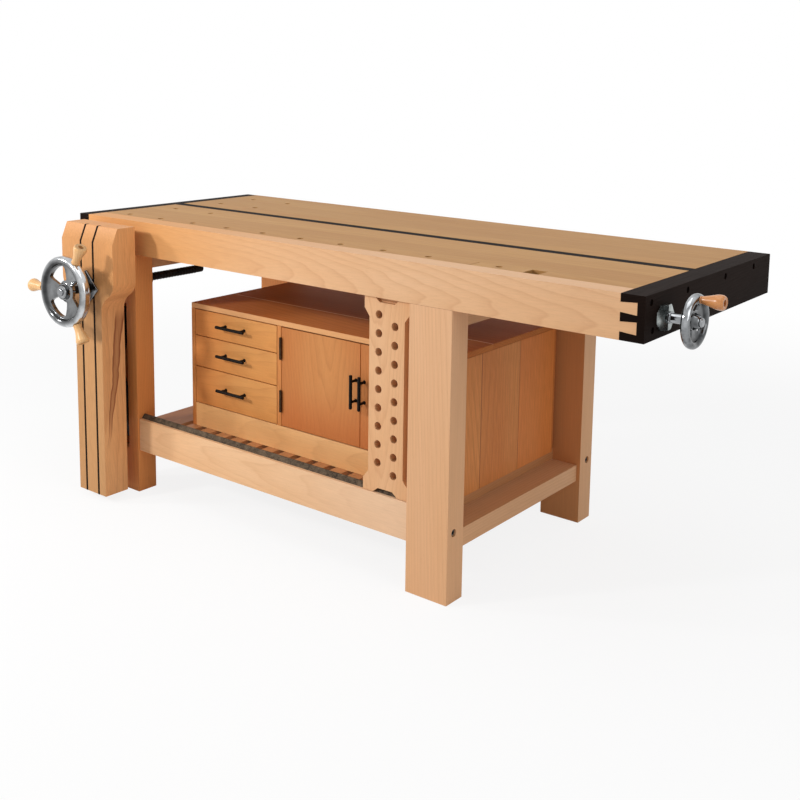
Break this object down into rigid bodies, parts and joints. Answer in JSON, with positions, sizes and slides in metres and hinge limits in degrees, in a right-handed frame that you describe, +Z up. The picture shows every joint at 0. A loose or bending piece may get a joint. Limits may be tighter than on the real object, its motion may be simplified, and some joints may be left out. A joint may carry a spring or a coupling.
{
  "type": "woodworking bench with vises",
  "caption": "Split-top beech joiner's bench with dark end caps, leg vise with handwheel, wagon vise, sliding peg-board deadman and a drawer and door cabinet on a slatted shelf.",
  "frame": {"origin": "middle of the floor under the bench's whole reach, vise wheels included", "axes": "+X along the bench towards the wagon vise, +Y from the front to the back, +Z up"},
  "size_m": [2.0892, 0.9654, 0.868],
  "materials": {
    "beech": "oiled",
    "cabinet_beech": "varnished",
    "turned_beech": "turned and waxed",
    "dark_wood": "dark stained",
    "steel": "satin",
    "chrome": "polished",
    "black_steel": "black",
    "bronze": "dark bronze"
  },
  "bodies": {
    "bench": {"cabinet_back": "cabinet_beech", "cabinet_base": "cabinet_beech", "cabinet_divider": "cabinet_beech", "cabinet_left_side": "cabinet_beech", "cabinet_lid": "cabinet_beech", "cabinet_right_side": "cabinet_beech", "deadman_track": "black_steel", "front_laminate": "beech", "front_rail": "beech", "front_slab": "beech", "gap_stop": "dark_wood", "left_bearer": "beech", "left_end_cap": "dark_wood", "left_front_leg": "beech", "left_lower_hinge": "bronze", "left_rear_leg": "beech", "left_stretcher": "beech", "left_upper_hinge": "bronze", "leg_arm_pin": "steel", "rear_rail": "beech", "rear_slab": "beech", "right_bearer": "beech", "right_end_cap": "dark_wood", "right_front_leg": "beech", "right_lower_hinge": "bronze", "right_rear_leg": "beech", "right_stretcher": "beech", "right_upper_hinge": "bronze", "slatted_shelf": "beech", "tail_flange": "chrome", "vise_nut": "black_steel"},
    "vise_chop": {"vise_chop": "beech", "chop_left_inlay": "dark_wood", "chop_right_inlay": "dark_wood", "vise_plate": "steel", "chop_arm_pin": "steel"},
    "vise_screw": {"vise_screw": "black_steel", "vise_handwheel": "steel", "upper_knob": "turned_beech", "left_knob": "turned_beech", "lower_knob": "turned_beech"},
    "leg_arm": {"leg_arm": "black_steel"},
    "chop_arm": {"chop_arm": "black_steel"},
    "tail_screw": {"tail_screw": "steel", "tail_wheel": "chrome"},
    "crank_grip": {"crank_grip": "turned_beech"},
    "dog_block": {"dog_block": "beech"},
    "deadman": {"deadman": "beech"},
    "lower_drawer": {"lower_drawer": "cabinet_beech", "lower_drawer_pull": "black_steel"},
    "middle_drawer": {"middle_drawer": "cabinet_beech", "middle_drawer_pull": "black_steel"},
    "upper_drawer": {"upper_drawer": "cabinet_beech", "upper_drawer_pull": "black_steel"},
    "left_door": {"left_door": "cabinet_beech", "left_door_pull": "black_steel"},
    "right_door": {"right_door": "cabinet_beech", "right_door_pull": "black_steel"}
  },
  "joints": [
    {"name": "vise_screw_turn", "type": "hinge", "parent": "vise_chop", "child": "vise_screw", "pos_m": [-0.84365, -0.46235, 0.663], "axis": [0, -1, 0], "range_deg": [-1230, 2700]},
    {"name": "chop_slide", "type": "slide", "parent": "bench", "child": "vise_chop", "axis": [0, -1, 0], "range_m": [-0.0412, 0.0902]},
    {"name": "leg_arm_swing", "type": "hinge", "parent": "bench", "child": "leg_arm", "pos_m": [-0.84365, -0.23335, 0.565], "axis": [-1, 0, 0], "range_deg": [-6.22, 13.59]},
    {"name": "chop_arm_swing", "type": "hinge", "parent": "vise_chop", "child": "chop_arm", "pos_m": [-0.84365, -0.32335, 0.565], "axis": [1, 0, 0], "range_deg": [-6.22, 13.59]},
    {"name": "tail_screw_turn", "type": "hinge", "parent": "bench", "child": "tail_screw", "pos_m": [0.97935, -0.16835, 0.802], "axis": [1, 0, 0], "range_deg": [0, 2880]},
    {"name": "dog_block_slide", "type": "slide", "parent": "bench", "child": "dog_block", "axis": [1, 0, 0], "range_m": [0, 0.0402]},
    {"name": "crank_grip_spin", "type": "hinge", "parent": "tail_screw", "child": "crank_grip", "pos_m": [1.01535, -0.16835, 0.851], "axis": [1, 0, 0], "continuous": true},
    {"name": "deadman_slide", "type": "slide", "parent": "bench", "child": "deadman", "axis": [1, 0, 0], "range_m": [-0.895, 0]},
    {"name": "lower_drawer_slide", "type": "slide", "parent": "bench", "child": "lower_drawer", "axis": [0, -1, 0], "range_m": [0, 0.3]},
    {"name": "middle_drawer_slide", "type": "slide", "parent": "bench", "child": "middle_drawer", "axis": [0, -1, 0], "range_m": [0, 0.3]},
    {"name": "upper_drawer_slide", "type": "slide", "parent": "bench", "child": "upper_drawer", "axis": [0, -1, 0], "range_m": [0, 0.3]},
    {"name": "left_door_swing", "type": "hinge", "parent": "bench", "child": "left_door", "pos_m": [-0.28565, -0.13165, 0.436], "axis": [0, 0, -1], "range_deg": [0, 80]},
    {"name": "right_door_swing", "type": "hinge", "parent": "bench", "child": "right_door", "pos_m": [0.31235, -0.13165, 0.436], "axis": [0, 0, 1], "range_deg": [0, 20]}
  ],
  "couplings": [
    {"joint": "chop_slide", "follows": "vise_screw_turn", "m_per_rad": 0.0019099},
    {"joint": "leg_arm_swing", "follows": "vise_screw_turn", "ratio": 0.0050146},
    {"joint": "chop_arm_swing", "follows": "vise_screw_turn", "ratio": 0.0050146},
    {"joint": "dog_block_slide", "follows": "tail_screw_turn", "m_per_rad": 0.00079577}
  ]
}
